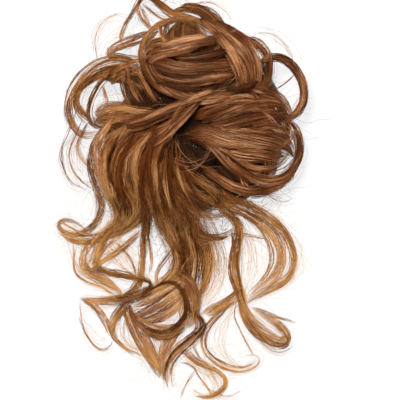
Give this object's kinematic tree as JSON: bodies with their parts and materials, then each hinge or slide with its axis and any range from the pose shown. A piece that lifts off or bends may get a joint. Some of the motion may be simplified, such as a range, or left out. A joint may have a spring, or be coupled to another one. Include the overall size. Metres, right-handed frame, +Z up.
{
  "type": "top knot hairpiece",
  "caption": "Messy top knot hairpiece: a roll of hair on a soft elastic ring, with laid waves, open loops at its edge and curled locks that fall from it.",
  "frame": {"origin": "under the middle of the whole piece, on the surface that its back lies on", "axes": "+Z up, away from the flat back; +Y from the curled ends to the top of the knot; +X to the right, seen from above"},
  "size_m": [0.1626, 0.2626, 0.0586],
  "materials": {
    "elastic": "matte woven",
    "weft": "stitched fibre",
    "roll": "combed fibre",
    "hair": "satin fibre",
    "tips": "satin fibre"
  },
  "bodies": {
    "root": {"elastic_band": "elastic", "weft_ring": "weft", "hair_roll": "roll", "right_loops": "hair", "upper_waves": "hair", "crown_loops": "hair", "left_loops": "hair", "cross_locks": "hair", "centre_fall": "hair", "tail_curls": "hair", "left_fall": "tips", "outer_tendril": "tips", "right_tendril": "tips", "left_ringlets": "tips", "lower_ringlets": "tips", "lowest_ringlet": "tips"}
  },
  "joints": []
}
